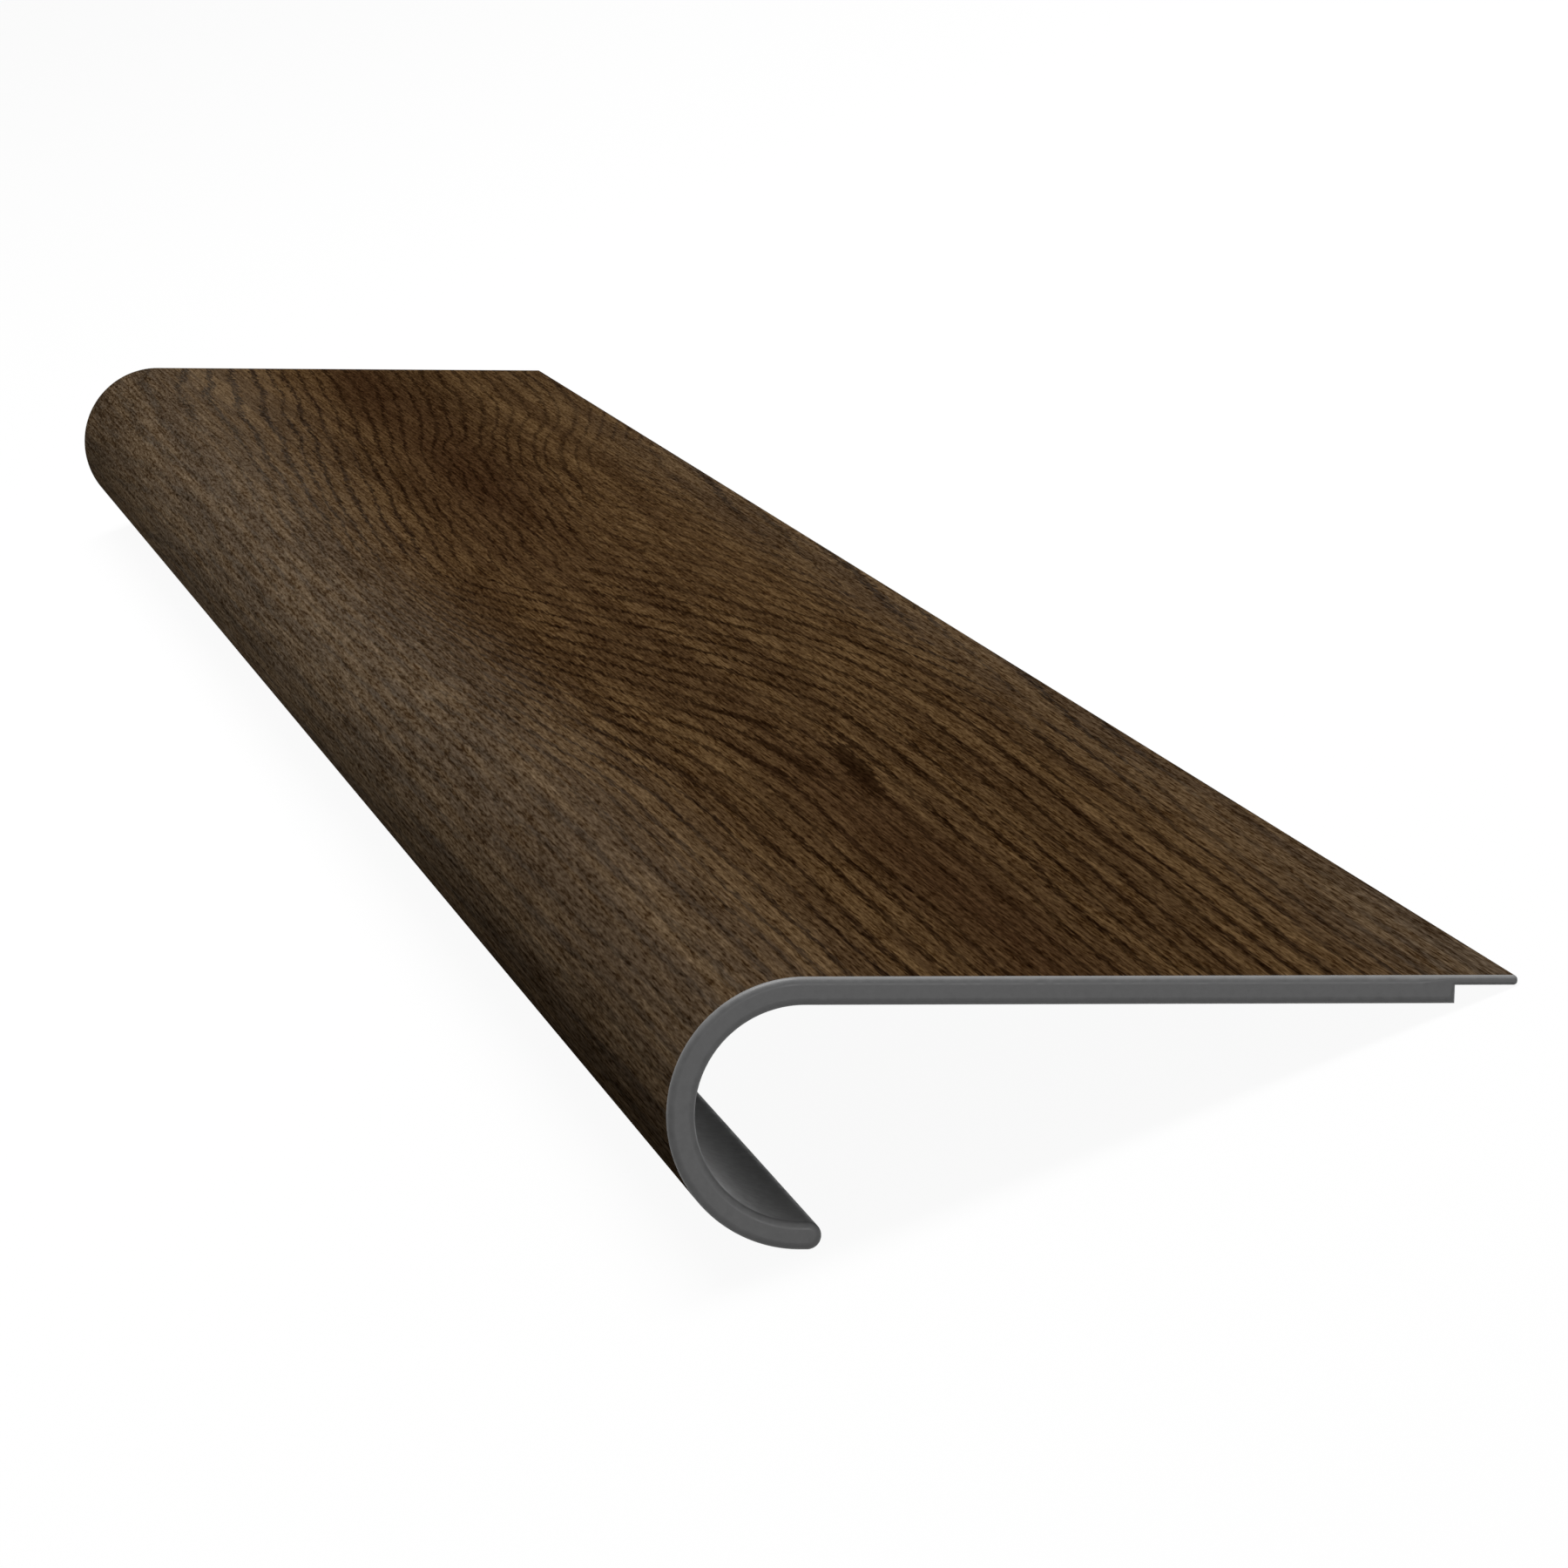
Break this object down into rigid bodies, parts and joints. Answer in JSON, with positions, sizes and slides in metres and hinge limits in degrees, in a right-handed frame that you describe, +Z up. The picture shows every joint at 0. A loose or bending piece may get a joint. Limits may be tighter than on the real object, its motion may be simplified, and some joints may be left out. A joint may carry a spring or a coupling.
{
  "type": "landing nosing",
  "caption": "Wood-look vinyl landing nosing: a flat plate with a half-round hooked nose in front and a thin lip behind, to cap the front edge of a stair landing.",
  "frame": {"origin": "on the floor, at the middle of the piece's length and of its footprint's depth, as it rests unheld", "axes": "+Z up; +Y along the length; +X from the front of the nose towards the lip. The plate slopes down towards the lip by 20.4 degrees, because the piece rests on its tail's tip and its lip's edge"},
  "size_m": [0.1212, 1.2, 0.0378],
  "materials": {
    "wood_print_vinyl": "satin"
  },
  "bodies": {
    "root": {"landing_nosing": "wood_print_vinyl"}
  },
  "joints": []
}
